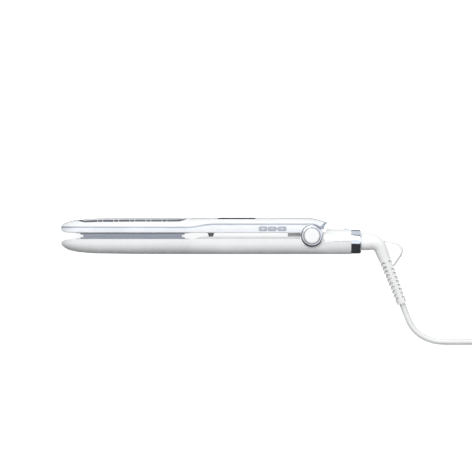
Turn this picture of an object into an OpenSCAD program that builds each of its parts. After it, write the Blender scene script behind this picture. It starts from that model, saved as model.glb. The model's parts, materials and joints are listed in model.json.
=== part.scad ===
// Hair crimper: two hinged arms with interlocking ridged plates, and a swivelling mains lead.
// It lies on its side. +X runs from the tips to the lead, +Y from the lower arm to the upper arm.
// The origin is where the hinge axis meets the face that the iron rests on.

/* [Arms] */
// Distance from the tips to the hinge axis
tip_reach = 238; // [215:0.5:280]
// Height over both closed arms
body_h = 34.4; // [32:0.1:40]
// Width of the arms along the plates
plate_arm_w = 33.6; // [33:0.1:40]
// Width of the arms along the handle
handle_w = 29; // [28:0.1:33]
// Wall of the moulded housings
wall = 1.8; // [1.4:0.1:2]
// Thickness of the flat inner walls
floor_t = 1.6; // [1.4:0.1:2.2]
// Gap between the inner faces of the closed arms
arm_gap = 5.9; // [5.7:0.1:7.5]
// Width of the blunt tips
tip_w = 10; // [6:0.5:16]
// Squareness of the arms' cross-section, where 2 is an ellipse
arm_square = 2.6; // [2.2:0.1:3.2]

/* [Trim] */
// Thickness of the trim band
trim_t = 1.6; // [1:0.1:2]
// Height of the trim band over the bite plane along the plates
trim_front = 8.2; // [8:0.1:9.5]
// Height of the trim band over the bite plane along the handle
trim_rear = 10.9; // [10.8:0.1:12]

/* [Plates] */
// Length of each plate
plate_l = 99; // [80:0.5:105]
// Width of each plate
plate_w = 26; // [20:0.5:27]
// Distance from the tips to the plates
plate_front = 18.6; // [18:0.1:24]
// Distance from one ridge to the next
ridge_pitch = 4; // [3:0.5:6]
// Height of the ridges
ridge_h = 1.8; // [1.2:0.1:2.2]
// Distance that the ridges stop short of the plate's ends
ridge_inset = 2.9; // [1:0.1:5]
// Gap that is left between the closed plates
bite = 0.3; // [0.3:0.05:0.4]
// Depth of each plate behind the arm's inner face
plate_seat = 1.5; // [1:0.1:2]

/* [Controls] */
// Length of the power button
button_l = 7.6; // [6:0.1:8]
// Height of the power button and of the rocker
button_h = 3.8; // [3:0.1:4.4]
// Distance that the controls stand proud of the housing
button_proud = 0.5; // [0.3:0.1:0.8]
// Travel of the power button
button_travel = 0.6; // [0.3:0.1:0.8]
// Length of the display window
display_l = 35.6; // [25:0.1:40]
// Width of the display window
display_w = 16; // [10:0.5:18]

/* [Hinge] */
// Diameter of the hinge pin
pin_d = 5; // [4:0.1:6]
// Diameter of the chrome rings over the hinge
ring_d = 20.5; // [20:0.1:20.8]
// Diameter of the caps in the rings
cap_d = 14.8; // [12:0.1:16]
// Height of the resting face under the middle of the iron
rest_h = 17; // [16.8:0.1:20]
// Opening angle at the stop
opening_angle = 12; // [8:1:13]
// Slope of the slanted bar at the upper arm's rear end
heel_angle = 47; // [42:0.5:55]
// Wire diameter of the torsion spring
spring_wire = 1.4; // [1:0.1:1.5]
// Turns of the torsion spring
spring_turns = 4; // [3:0.5:4]

/* [Rear housing] */
// Diameter of the rear housing and the collar
rear_d = 23.7; // [22.5:0.1:24.5]
// Distance from the hinge axis to the rear housing
rear_x = 10.8; // [10.8:0.1:11.5]
// Distance from the hinge axis to the collar
collar_x = 37.3; // [37:0.1:44]
// Diameter of the chrome collar
collar_d = 22.8; // [22:0.1:23.6]
// Length of the chrome collar
collar_l = 9.5; // [8:0.1:14]
// Travel of the lock slider
lock_travel = 8; // [4:0.5:8]
// Width of the lock slider's slot
slot_w = 4; // [3:0.1:5]

/* [Strain relief] */
// Diameter of the strain relief where it leaves the collar
boot_d = 16.4; // [13:0.1:17]
// Diameter of the strain relief at its first groove
boot_mid_d = 11.1; // [9:0.1:12]
// Diameter of the strain relief at its end
boot_end_d = 9.2; // [7.6:0.1:9.4]
// Number of grooves
groove_count = 10; // [6:1:10]
// Distance from one groove to the next
groove_pitch = 4.1; // [3.6:0.1:4.2]
// Width of each groove
groove_w = 1.9; // [1.4:0.1:2.2]

/* [Lead] */
// Diameter of the lead
cord_d = 5.5; // [5:0.1:6]
// Radius of the coil at the middle of its turns
coil_r = 33; // [30:0.5:36]
// Distance between neighbouring turns of the coil
coil_pitch = 6; // [5.9:0.1:6.5]
// Length of the plug's body
plug_l = 36; // [32:0.5:42]
// Width of the plug's body
plug_w = 35; // [33:0.5:36]
// Thickness of the plug's body
plug_t = 13.6; // [12:0.1:15]

/* [Hidden] */

$fn = 48;
eps = 0.01;
fit = 0.05; // running fit on a radius
slack = 0.3; // gap between pieces that move past each other
snug = 0.1; // gap round a piece that is held in a recess

white = [0.95, 0.96, 0.97];
band_grey = [0.86, 0.89, 0.92];
trim_blue = [0.62, 0.67, 0.76];
plate_blue = [0.45, 0.49, 0.58];
charcoal = [0.2, 0.21, 0.24];

// Rules shared by the shapes
function mix(a, b, t) = a + (b - a) * t;
function clamp01(t) = min(max(t, 0), 1);
function ease(t) = let (s = clamp01(t)) s * s * (3 - 2 * s);
function power(v, e) = sign(v) * pow(abs(v), e);

// Heights and half-widths along the arms
inner_y = arm_gap / 2;
outer_y = body_h / 2;
tip_y = 7.6; // height of the lower tip's blunt nose under the bite plane
nose_run = 8.6;
nose_power = 0.72;
nose_plan = 15;
lip_run = 2.4;
lip_rise = 2.6;
lower_lip_rise = 3.4;
waist_x = plate_x(1) + 3;
waist_l = 32;
trim_rise_l = 24;
heel_x = 15.5; // rear corner of the upper arm
heel_drop = 4.6;
heel_from = -4;
heel_narrow = 3;
tail_x0 = -4; // start of the lower arm's tail
tail_x1 = 14.5; // end of the lower arm's tail
tail_narrow = 4.2;
rear_r = rear_d / 2;
collar_r = collar_d / 2;
rear_y = rear_r - outer_y;
shell_nose = 6; // length of the solid tips of the hollow mouldings
arc_steps = 12;

function plate_x(end) = -tip_reach + plate_front + plate_l * end;
function from_tip(x) = x + tip_reach;
function nose(x) = exp(-pow(max(from_tip(x), 0) / nose_run, nose_power));
function lip(x) = lip_rise * exp(-from_tip(x) / lip_run);
function round_plan(x) = sqrt(1 - pow(1 - clamp01(from_tip(x) / nose_plan), 2));
function arm_half_w(x) = mix(mix(tip_w, plate_arm_w, round_plan(x)), handle_w,
    ease((x - waist_x) / waist_l)) / 2;
function heel(x) = pow(clamp01((x - heel_from) / (heel_x - heel_from)), 1.7);
function upper_half_w(x) = arm_half_w(x) - heel_narrow * pow(clamp01(x / heel_x), 2);
function upper_in(x) = inner_y + lip(x);
function upper_out(x) = outer_y - (outer_y - trim_front - trim_t / 2 - 0.2) * nose(x) - heel_drop * heel(x);
function trim_y(x) = mix(trim_front, trim_rear, ease((x - waist_x) / trim_rise_l));
function rear_blend(x) = ease((x + 3) / (rear_x + 2.8));
function lower_half_w(x) = mix(arm_half_w(x), rear_r, rear_blend(x));
function lower_in(x) = mix(-inner_y - lip(x) * lower_lip_rise / lip_rise, rear_y, rear_blend(x));
function lower_out(x) = -outer_y + (outer_y - tip_y) * nose(x);
function lower_square(x) = mix(arm_square, 2, rear_blend(x));
// Half-width of the lower arm's own form, which ends in the round housing behind the hinge
function tail_half_w(x) = arm_half_w(x) - tail_narrow * pow(clamp01((x - tail_x0) / (tail_x1 - tail_x0)), 2);
function hollow(x) = ease((from_tip(x) - shell_nose) / 3);
// Half-width of the upper arm's section at height y
function upper_z(x, y) = upper_half_w(x) * pow(1 - pow(clamp01((y - upper_in(x))
    / (upper_out(x) - upper_in(x))), arm_square), 1 / arm_square);
// Height of the upper arm's section at distance z from the middle
function crown(x, z) = upper_in(x) + (upper_out(x) - upper_in(x)) * pow(1 - pow(abs(z)
    / upper_half_w(x), arm_square), 1 / arm_square);

// Places along the arms where the sections are taken
nose_stations = [for (i = [0:8]) -tip_reach + 34 * pow(i / 8, 2.3)];
waist_stations = [for (i = [0:7]) waist_x + waist_l * i / 7];
arm_stations = concat(nose_stations, [plate_x(0.5)], waist_stations, [-45]);
upper_stations = concat(arm_stations, [for (i = [0:6]) mix(-12, heel_x, i / 6)]);
lower_stations = concat(arm_stations, [-14], [for (i = [0:9]) mix(-3, tail_x1 + 1, i / 9)], [collar_x]);

// Vent on the shoulders of the upper cover
vent_x0 = plate_x(0) - 5;
vent_x1 = plate_x(1) + 4;
vent_w = 26.4;
vent_spine_w = 18;
vent_end = 10.5;
vent_depth = 0.45;
vent_t = 1.2;
rib_pairs = 5;
rib_first = plate_x(0) + 18.9;
rib_period = 15.2;
rib_gap = 4.6;
rib_t = 0.5;

// Controls on the side of the upper arm
button_y = 6.75;
button_corner = 1.1;
power_x = -46.3;
minus_x = -37.7;
rocker_step = 9.5;
bridge_h = 1.1;
button_flange = 0.6;
button_slack = 0.2;
button_base_z = 9.8;
rocker_x = minus_x + rocker_step / 2;
display_x = plate_x(1) * 0.74;
board_y = 9.6;
board_t = 1.6;
board_w = handle_w - 10;
board_x0 = plate_x(1) + 12.4;
board_x1 = -14;
parts_x = board_x1 - 15;

// Hinge parts
pin_r = pin_d / 2;
knuckle_r = 7.5;
knuckle_z = 8.6;
spring_gap_z = 4.2;
bush_t = 1;
ear_z0 = knuckle_z + slack;
ear_z1 = 11.5;
ear_r = 9.2;
hub_r = ring_d / 2;
web_x = -22;
spring_r = 5;
base_cut_r = hub_r + slack;
wrap_r = base_cut_r + 1.2; // outside of the trim that wraps round the rings
heel_corner = [12, 9.6]; // foot of the slanted bar
heel_foot = [11.6, 6.4]; // lowest corner of the heel
heel_top_y = 13;
heel_bar_w = 2.9; // width of the slanted bar along x

// Rear housing and swivel: the notch in its top lets the heel swing down to the stop
notch_x = norm(heel_corner) * cos(atan2(heel_corner[1], heel_corner[0]) - opening_angle) + slack;
notch_y = norm(heel_foot) * sin(atan2(heel_foot[1], heel_foot[0]) - opening_angle) - slack;
knob_x = 30.8;
knob_l = 4.6;
knob_w = 6;
knob_h = 2.6;
bolt_t = 1.7;
bearing_t = 2.5;
seam = 0.2; // open joint under the rear cover
shaft_r = 4.5;
ring_wall = 0.8;
drum_r = rear_r - wall - 0.6;
drum_x = collar_x + 0.8;
drum_t = 3.6;
boot_x = drum_x + drum_t;
boot_exit_x = collar_x + collar_l;

// Strain relief: it leaves the collar, turns down by the elbow and lets the lead down to the table
cord_droop = 11.5; // tilt about the collar's axis that brings the lead down to the table
elbow_x = 55.5;
elbow_r = 10.8;
elbow_turn = 68.7;
neck_l = 11.9; // from the elbow to the first groove
tail_l = 56.5; // from the elbow to the end of the strain relief
groove_core_r = 3;
spine_w = 3.1; // width of the spine that the grooves leave on both faces
spine_turn = -11; // turn of the spine about the tail's axis
elbow_end = [elbow_x + elbow_r * sin(elbow_turn), -elbow_r * (1 - cos(elbow_turn))];
tail_dir = [cos(elbow_turn), -sin(elbow_turn)];
loop_t = 1.6;
loop_w = 4;
// Middle line of the hang loop in the plane of the strain relief
loop_line = [[63, 2.3], [70.1, 0.6], [73, -0.1], [76, -0.7], [79, -1.4], [81.5, -2.5],
    [83.6, -4.1], [85.1, -6.3], [85.7, -8.9], [85.2, -11.4], [84, -13.7], [82.5, -15.8], [81.1, -17.9],
    [79.8, -20], [78.5, -22], [74.6, -25.6]];
loop_twist = 28; // turn of the strap's face from its upper to its lower end

// The lead's route from the strain relief to the coil, lying on the table
cord_r = cord_d / 2;
cord_route = [[86.2, -64, 5.1], [88.3, -69.3, 4.05], [90.6, -75.2, 3.25], [93.3, -81.7, 2.85],
    [96.4, -87, 2.75], [100.4, -91.4, 2.75], [105, -94.9, 2.75], [110.2, -97.6, 2.75],
    [115.6, -99.5, 2.75], [121.5, -100.6, 2.75], [128, -101, 2.75], [136, -101, 2.75],
    [146, -101, 2.75], [156, -101, 2.75], [166, -101, 2.75], [176, -101, 2.75], [186, -101, 2.75],
    [196, -101, 2.75], [204, -101, 2.75]];
cord_end = cord_route[len(cord_route) - 1];
coil_layer_turns = 3.625;
coil_inner_r = coil_r - coil_pitch * coil_layer_turns / 2;
coil_outer_r = coil_inner_r + coil_pitch * coil_layer_turns;
coil_x = cord_end[0];
coil_y = cord_end[1] + coil_outer_r;
coil_steps = 24;
coil_out = 6; // straight run at each end of the coil
plug_relief_l = 16;
pin_pitch = 18.6;
pin_l = 19;
plug_pin_r = 2;
pin_root_r = 1.5; // of the pins inside the plug
pin_root_l = 6;
pin_gap = 0.1; // from the plug's face to the full width of its pins

// A solid skinned over a list of rings, each with one half of its points facing the other.
// Rings that run the other way round ask for a flip.
module loft(rings, flip = false) {
    n = len(rings[0]);
    m = len(rings);
    sides = [for (j = [0:m - 2], i = [0:n - 1])
        let (a = j * n + i, b = j * n + (i + 1) % n)
        each [[a, a + n, b], [b, a + n, b + n]]];
    cap = [for (i = [0:n / 2 - 2]) let (p = i, q = i + 1, r = n - 2 - i, s = n - 1 - i)
        each i < n / 4 - 1 ? [[p, q, s], [q, r, s]] : [[p, q, r], [p, r, s]]];
    far_cap = [for (t = cap) (m - 1) * [n, n, n] + [t[2], t[1], t[0]]];
    faces = concat(cap, sides, far_cap);
    polyhedron([for (r = rings, p = r) p], flip ? [for (f = faces) [f[2], f[1], f[0]]] : faces,
        convexity = 8);
}

// Arc of a squared ellipse as [z, y] points, from its rim on +z over the apex to its rim on -z
function arc(half_w, rim, apex, square, from) = [for (i = [0:arc_steps])
    let (a = mix(from, 180 - from, i / arc_steps))
    [half_w * power(cos(a), 2 / square), rim + (apex - rim) * power(sin(a), 2 / square)]];

// Ring of a hollow moulding: its outer arc, and back along its cavity
function shell_ring(x, outside, rim, half_in, apex_in, square) = concat(
    [for (p = outside) [x, p[1], p[0]]],
    [for (i = [arc_steps:-1:0]) let (a = 180 * i / arc_steps)
        [x, rim + hollow(x) * (apex_in - rim) * power(sin(a), 2 / square),
            half_in * power(cos(a), 2 / square)]]);

// Puts a shape made about the middle of the iron at its height over the resting face
module on_side() {
    translate([0, 0, rest_h]) children();
}

// Extrudes an outline drawn in x and y evenly about the middle of the iron
module slab(half_w) {
    translate([0, 0, -half_w]) linear_extrude(2 * half_w) children();
}

// Repeats a shape on both sides of the middle
module both_sides() {
    children();
    mirror([0, 0, 1]) children();
}

// Turns a shape drawn about z to lie along x
module along_x(x, y) {
    translate([x, y, 0]) rotate([0, 90, 0]) children();
}

module tube(r_out, r_in, h) {
    difference() {
        cylinder(r = r_out, h = h);
        translate([0, 0, -1]) cylinder(r = r_in, h = h + 2);
    }
}

// ---- Lower arm ----

function lower_ring(x) = let (rim = lower_in(x), half = lower_half_w(x), apex = lower_out(x),
    outside = [for (p = arc(tail_half_w(x), rim, apex, arm_square, 0))
        let (round_z = x < tail_x0 ? 0 : sqrt(max(pow(rear_r, 2) - pow(min(p[1] - rear_y, 0), 2), 0)))
        [abs(p[0]) < eps ? 0 : sign(p[0]) * max(abs(p[0]), round_z), p[1]]])
    shell_ring(x, outside, rim, half - wall, apex + wall, lower_square(x));

// Long moulding from the tip to the collar
module lower_shell() {
    color(white) on_side() difference() {
        union() {
            loft([for (x = lower_stations) lower_ring(x)]);
            for (x = cover_screw_x) translate([x, -inner_y - floor_t, 0]) rotate([90, 0, 0])
                cylinder(r = 2.6, h = outer_y - inner_y - floor_t - wall + 0.4);
        }
        cylinder(r = hub_r + snug, h = 3 * handle_w, center = true);
        for (x = cover_screw_x) translate([x, -inner_y + eps, 0]) rotate([90, 0, 0])
            cylinder(r = screw_r, h = screw_l);
    }
}

screw_r = 1.2;
screw_head_r = 2.3;
screw_l = 9;
cover_screw_x = [plate_x(1) + 36.4, -30];
base_screw_x = [plate_x(1) + 17.2, -17];
pad_x0 = plate_x(1) + 8.4;
pad_rise = 9;
pad_y = -0.6;
pad_x1 = -11.4;
panel_x0 = -tip_reach + 10;
panel_edge = wall + 0.15;
holder_margin = 4.4;
holder_w = plate_w + 2;
peg_x = plate_x(1) + 24.7;
peg_r0 = 3.1;
peg_r1 = 1.9;
peg_dent = 0.6;

// Plan of the panel inside the lower shell's rim
panel_stations = [for (i = [0:14]) mix(panel_x0, pad_x1, i / 14)];
module panel_plan() {
    polygon(concat([for (x = panel_stations) [x, arm_half_w(x) - panel_edge]],
        [for (i = [14:-1:0]) let (x = panel_stations[i]) [x, panel_edge - arm_half_w(x)]]));
}

// Inner face of the lower arm, with the raised pad of its handle
module lower_inner_cover() {
    color(band_grey) on_side() difference() {
        union() {
            translate([0, -inner_y - floor_t, 0]) rotate([-90, 0, 0]) linear_extrude(floor_t) panel_plan();
            slab(handle_w / 2 - wall - 1) polygon([[pad_x0, -inner_y],
                [pad_x0 + pad_rise * 0.55, mix(-inner_y, pad_y, 0.75)],
                [pad_x0 + pad_rise, pad_y], [pad_x1, pad_y], [pad_x1, -inner_y]]);
        }
        translate([plate_x(0) - holder_margin - snug, -2 * inner_y, -holder_w / 2 - snug])
            cube([plate_l + 2 * (holder_margin + snug), 2 * inner_y, holder_w + 2 * snug]);
        translate([peg_x, pad_y + eps, 0]) rotate([90, 0, 0]) cylinder(r = peg_r1 + 0.5, h = peg_dent);
        for (x = cover_screw_x) screw_hole(x, pad_y, -1);
    }
}

// Countersunk hole into a face at height y, with the screw going towards side
module screw_hole(x, y, side) {
    translate([x, y, 0]) rotate([side > 0 ? -90 : 90, 0, 0]) {
        translate([0, 0, -eps]) cylinder(r = screw_r, h = screw_l + 1);
        translate([0, 0, -eps]) cylinder(r1 = screw_head_r, r2 = screw_r, h = screw_head_r - screw_r);
    }
}

// Countersunk screw of length l with a cross recess
module screw(x, y, side, l) {
    translate([x, y, 0]) rotate([side > 0 ? -90 : 90, 0, 0]) difference() {
        union() {
            translate([0, 0, 0.1]) cylinder(r1 = screw_head_r - 0.2, r2 = screw_r - 0.1, h = 1);
            translate([0, 0, 1]) cylinder(r = screw_r - 0.1, h = l - 1);
        }
        for (a = [0, 90]) rotate([0, 0, a]) translate([-1.3, -0.25, 0]) cube([2.6, 0.5, 0.8]);
    }
}

module cover_screws() {
    color("silver") on_side() for (x = cover_screw_x) screw(x, pad_y, -1, screw_l);
}

// Heat-proof tray that carries a plate: side is 1 in the upper arm and -1 in the lower
module plate_tray(side) {
    lip_y = inner_y - 0.4;
    seat_y = inner_y + plate_seat;
    x0 = plate_x(0) - holder_margin;
    mirror([0, side < 0 ? 1 : 0, 0]) difference() {
        slab(holder_w / 2) polygon([[x0 + 0.6, lip_y], [x0, lip_y + 0.6], [x0, seat_y + floor_t],
            [plate_x(1) + holder_margin, seat_y + floor_t], [plate_x(1) + holder_margin, lip_y + 0.6],
            [plate_x(1) + holder_margin - 0.6, lip_y]]);
        translate([plate_x(0) - snug, lip_y - 1, -plate_w / 2 - snug])
            cube([plate_l + 2 * snug, seat_y - lip_y + 1, plate_w + 2 * snug]);
        translate([plate_x(0) + heater_inset - snug, lip_y, -heater_w / 2 - snug])
            cube([plate_l - 2 * heater_inset + 2 * snug, seat_y + floor_t, heater_w + 2 * snug]);
    }
}

heater_inset = 7;
heater_w = 16;
heater_t = 3.4;

module lower_plate_holder() {
    color(charcoal) on_side() plate_tray(-1);
}

// Ridged face of the plates: height of its wave over the bite plane at distance z from the middle
wave_samples = 8;
wave_count = plate_w / ridge_pitch * wave_samples;
function wave(z) = ridge_h / 2 * cos(360 * (plate_w / 2 - z) / ridge_pitch + 180);
function wave_line(offset) = [for (i = [0:wave_count]) let (z = mix(-plate_w / 2, plate_w / 2,
    i / wave_count)) [z, wave(z) + offset]];

// Plate with lengthwise ridges: side is 1 in the upper arm and -1 in the lower
module ridged_plate(side) {
    root_y = ridge_h / 2 + bite / 2;
    seat_y = inner_y + plate_seat;
    bevel = 0.8;
    mirror([0, side < 0 ? 1 : 0, 0]) slab(plate_w / 2) polygon([[plate_x(0) + bevel, root_y],
        [plate_x(0), root_y + bevel], [plate_x(0), seat_y], [plate_x(1), seat_y],
        [plate_x(1), root_y + bevel], [plate_x(1) - bevel, root_y]]);
    translate([plate_x(0) + ridge_inset, 0, 0]) rotate([90, 0, 90])
        linear_extrude(plate_l - 2 * ridge_inset) rotate(90) mirror([0, 1])
        polygon(concat([for (p = wave_line(side * bite / 2)) [p[0], p[1]]],
            [[plate_w / 2, side * (root_y + 1)], [-plate_w / 2, side * (root_y + 1)]]));
}

module lower_plate() {
    color(plate_blue) on_side() ridged_plate(-1);
}

// Flat heating element in its clamp, behind a plate
module heater(side) {
    seat_y = inner_y + plate_seat;
    x0 = plate_x(0) + heater_inset;
    x1 = plate_x(1) - heater_inset;
    back_y = seat_y + heater_t;
    mirror([0, side < 0 ? 1 : 0, 0]) difference() {
        slab(heater_w / 2) polygon([[x0, seat_y], [x1, seat_y], [x1, back_y - 1], [x1 - 2, back_y],
            [x0 + 2, back_y], [x0, back_y - 1]]);
        for (z = [-heater_w / 2 - 1, heater_w / 2 - 1]) translate([x0 - 1, seat_y + floor_t + 0.2, z])
            cube([plate_l, 0.8, 2]);
    }
}

module lower_heater() {
    color("lightgray") on_side() heater(-1);
}

// Glass bead of the thermistor in its clip, on the back of the lower heater
module temperature_sensor() {
    back_y = -inner_y - plate_seat - heater_t;
    color("darkorange") on_side() union() {
        along_x(plate_x(0.5) - 3, back_y - 1.2) cylinder(r = 1.2, h = 6);
        translate([plate_x(0.5) - 6, back_y - 0.6, -3]) cube([12, 0.6, 6]);
    }
}

// Frame with two ears that carries the hinge pin in the lower arm
module hinge_frame() {
    base_y = -knuckle_r - slack;
    foot_y = -outer_y + wall + 0.6;
    color("dimgray") on_side() difference() {
        union() {
            both_sides() translate([0, 0, ear_z0]) cylinder(r = ear_r, h = ear_z1 - ear_z0);
            slab(ear_z1 - 0.9) polygon([[-6, base_y - 1.6], [-6, base_y], [6, base_y], [6, base_y - 1.6]]);
            slab(4.6) polygon([[-5, foot_y], [-5, base_y - 1], [5, base_y - 1], [5, foot_y]]);
        }
        cylinder(r = pin_r, h = 3 * handle_w, center = true);
        cylinder(r = knuckle_r + slack, h = 2 * ear_z0, center = true);
    }
}

module hinge_pin() {
    color("silver") on_side() cylinder(r = pin_r, h = 2 * ear_z1, center = true);
}

// Points of a circle of the spring's wire at angle a on the coil, and its run along z
spring_pitch = spring_wire + 0.25;
spring_leg = 9;
spring_wire_sides = 6;
function spring_point(a) = [spring_r * cos(a), spring_r * sin(a), spring_pitch * (a - 90) / 360
    - spring_pitch * spring_turns / 2];
spring_end = 90 + 360 * spring_turns;
spring_line = concat([spring_point(90) + [-spring_leg, -2.6, 0]],
    [for (a = [110:20:spring_end - 20]) spring_point(a)],
    [spring_point(spring_end) + [-2, 0, 0]]);

// Tube of a given radius and number of sides swept along a line of points
function unit(v) = v / norm(v);
function tangent(line, i) = unit(line[min(i + 1, len(line) - 1)] - line[max(i - 1, 0)]);
module swept_tube(line, r, sides, up) {
    loft([for (i = [0:len(line) - 1]) let (t = tangent(line, i), s = unit(cross(up, t)), u = cross(t, s))
        [for (k = [0:sides - 1]) let (a = 360 * (k + 0.5) / sides)
            line[i] + (is_list(r) ? r[i] : r) * (cos(a) * s + sin(a) * u)]]);
}

// Torsion spring round the hinge pin, which pushes the arms apart
module hinge_spring() {
    color("silver") on_side() swept_tube(spring_line, spring_wire / 2, spring_wire_sides, [0, 0, 1]);
}

// Dark block on the lower arm that covers the spring and carries the closed upper arm's heel
module spring_cover() {
    x0 = -22.5;
    x1 = -base_cut_r - 0.1;
    top_y = inner_y - slack;
    color(charcoal) on_side() slab(10) polygon([[x0, pad_y], [x0, top_y - 0.5], [x0 + 0.5, top_y],
        [x1 - 0.5, top_y], [x1, top_y - 0.5], [x1, pad_y]]);
}

// Chrome rings over the ends of the hinge
module pivot_rings() {
    top = rest_h - 0.4;
    color("silver") on_side() both_sides() difference() {
        rotate_extrude() polygon([[cap_d / 2 + snug, ear_z1], [hub_r, ear_z1], [hub_r, top - 1.1],
            [hub_r - 0.5, top - 0.35], [hub_r - 1.1, top], [cap_d / 2 + 0.8, top],
            [cap_d / 2 + snug, top - 0.7]]);
    }
}

// White caps in the rings; the lower one is the face that the iron rests on
module pivot_caps() {
    color(white) on_side() both_sides() rotate_extrude() polygon([[0, ear_z1], [cap_d / 2, ear_z1],
        [cap_d / 2, rest_h - 1], [cap_d / 2 - 0.3, rest_h - 0.45], [cap_d / 2 - 0.9, rest_h - 0.1],
        [cap_d / 2 - 1.6, rest_h], [0, rest_h]]);
}

// Upper half of the rear housing, with the lock's slot and a front that stops the opening arm
module rear_top_cover() {
    color(white) on_side() difference() {
        along_x(rear_x, rear_y) difference() {
            cylinder(r = rear_r, h = collar_x - rear_x);
            translate([0, 0, wall]) cylinder(r = rear_r - wall, h = collar_x);
        }
        translate([0, rear_y - rear_d + seam, -rear_d]) cube([2 * collar_x, rear_d, 2 * rear_d]);
        translate([0, notch_y, -rear_d]) cube([notch_x, rear_d, 2 * rear_d]);
        translate([knob_x - lock_travel + 0.3 - slack, 0, -slot_w / 2])
            cube([lock_travel + knob_l - 1.4 + slack, rear_d, slot_w]);
    }
}

// Thumb slider of the closing lock, with its bolt under the cover
module lock_slider() {
    top_y = rear_y + rear_r;
    bolt_y = top_y - wall - slack - 0.5;
    stem_l = knob_l - 2.2;
    color(white) on_side() union() {
        difference() {
            slab(knob_w / 2) polygon([[knob_x, top_y + slack], [knob_x + 0.5, top_y + knob_h * 0.75],
                [knob_x + 1.4, top_y + knob_h], [knob_x + knob_l - 1.4, top_y + knob_h],
                [knob_x + knob_l - 0.5, top_y + knob_h * 0.75], [knob_x + knob_l, top_y + slack]]);
            for (i = [-1:1]) translate([knob_x + knob_l / 2 + i - 0.2, top_y + knob_h - 0.4, -knob_w])
                cube([0.4, 1, 2 * knob_w]);
        }
        translate([knob_x + 0.4, bolt_y - 0.5, -slot_w / 2 + slack])
            cube([stem_l, top_y + slack + 0.6 - bolt_y, slot_w - 2 * slack]);
        translate([knob_x - 9, bolt_y - bolt_t, -2.8]) cube([12, bolt_t, 5.6]);
    }
}

// Bearing plate of the cord swivel
module swivel_bearing() {
    color("gainsboro") on_side() along_x(collar_x - bearing_t, rear_y)
        tube(rear_r - wall - 0.25, shaft_r + fit, bearing_t);
}

// Sprung brass strips on their carrier, which feed the slip rings
module contact_brushes() {
    track_r = shaft_r + ring_wall + 0.2;
    foot_y = rear_y - rear_r + wall + 0.75;
    color("goldenrod") on_side() union() {
        for (x = slip_x) {
            translate([x, rear_y - track_r - 0.5, -3]) cube([2, 0.5, 6]);
            translate([x + 0.5, foot_y + 0.15, -3]) cube([1, rear_y - track_r - foot_y - 0.15, 1]);
        }
        translate([slip_x[0] - 1, foot_y, -3.4]) cube([slip_x[1] - slip_x[0] + 4, 0.8, 6.8]);
    }
}

slip_x = [24, 29];

// Chrome ring that ends the housing round the swivel
module chrome_collar() {
    hole_r = boot_d / 2 + slack;
    end_t = 1.5;
    color("silver") on_side() along_x(collar_x, rear_y) rotate_extrude() polygon([[rear_r - wall, 0],
        [collar_r, 0], [collar_r, collar_l - 1.6], [collar_r - 0.3, collar_l - 0.6], [collar_r - 1, collar_l],
        [hole_r, collar_l], [hole_r, collar_l - end_t], [rear_r - wall, collar_l - end_t]]);
}

// ---- Upper arm ----

// White crown of the upper arm over the trim band
function cover_ring(x) = let (
    rim = min(trim_y(x) + trim_t / 2, upper_out(x) - 0.15),
    high = upper_out(x) - upper_in(x),
    from = asin(pow(clamp01((rim - upper_in(x)) / high), arm_square / 2)),
    outside = arc(upper_half_w(x), upper_in(x), upper_out(x), arm_square, from),
    shut = 1 - ease((x - heel_from) / 8))
    concat([for (p = outside) [x, p[1], p[0]]],
        [for (i = [arc_steps:-1:0]) let (a = 180 * i / arc_steps)
            [x, rim + hollow(x) * shut * max(upper_out(x) - wall - rim, 0) * power(sin(a), 2 / arm_square),
                (outside[0][0] - min(wall, outside[0][0] / 2)) * power(cos(a), 2 / arm_square)]]);

module upper_cover() {
    color(white) on_side() difference() {
        union() {
            loft([for (x = upper_stations) cover_ring(x)], flip = true);
            heel_part() heel_filler();
        }
        vent_prism(0);
        translate([display_x, trim_rear, -display_w / 2]) cube([display_l, outer_y, display_w]);
        slab(handle_w) polygon([heel_left(wrap_r * 0.5), heel_left(outer_y),
            [2 * heel_x, outer_y], [2 * heel_x, 0]]);
    }
}

// Solid section of the upper arm over the hinge
function solid_ring(x) = let (outside = arc(upper_half_w(x), upper_in(x), upper_out(x), arm_square, 0))
    concat([for (p = outside) [x, p[1], p[0]]],
        [for (i = [arc_steps:-1:0]) [x, upper_in(x) - 1, outside[i][0] * 0.98]]);
// Part of the upper arm's form that lies on an outline drawn in x and y
module heel_part() {
    intersection() {
        loft([for (i = [0:6]) solid_ring(mix(-1, heel_x, i / 6))], flip = true);
        slab(handle_w) children();
    }
}

// Point at height y on the slanted bar's left edge
function heel_left(y) = [heel_corner[0] - heel_bar_w + (y - heel_corner[1]) / tan(heel_angle), y];
wrap_end = 52; // angle at which the trim round the rings meets the bar
wrap_steps = [for (i = [0:5]) mix(90, wrap_end, i / 5)];

// White field between the trim round the rings and the bar
module heel_filler() {
    polygon(concat([for (a = wrap_steps) wrap_r * [cos(a), sin(a)]],
        [heel_left(wrap_r * sin(wrap_end)), heel_left(heel_top_y), [0, heel_top_y]]));
}

// Half-width of the vent at place x, drawn in by margin
vent_steps = 16;
function vent_half(x, margin) = let (
    t = min(x - vent_x0, vent_x1 - x) / vent_end)
    (vent_w / 2 - margin) * pow(1 - pow(1 - clamp01(t), 2.2), 1 / 2.2);
function vent_stations(margin) = [for (i = [0:vent_steps]) let (s = i / vent_steps,
    e = s < 0.5 ? pow(2 * s, 1.8) / 2 : 1 - pow(2 - 2 * s, 1.8) / 2)
    mix(vent_x0 + 0.05 + margin, vent_x1 - 0.05 - margin, e)];

// Upright prism on the outline of the vent
module vent_prism(margin) {
    xs = vent_stations(margin);
    translate([0, 2 * outer_y, 0]) rotate([90, 0, 0]) linear_extrude(2 * outer_y - trim_front - trim_t)
        polygon(concat([for (x = xs) [x, vent_half(x, margin)]],
            [for (i = [vent_steps:-1:0]) [xs[i], -vent_half(xs[i], margin)]]));
}

band_steps = 9;
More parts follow.
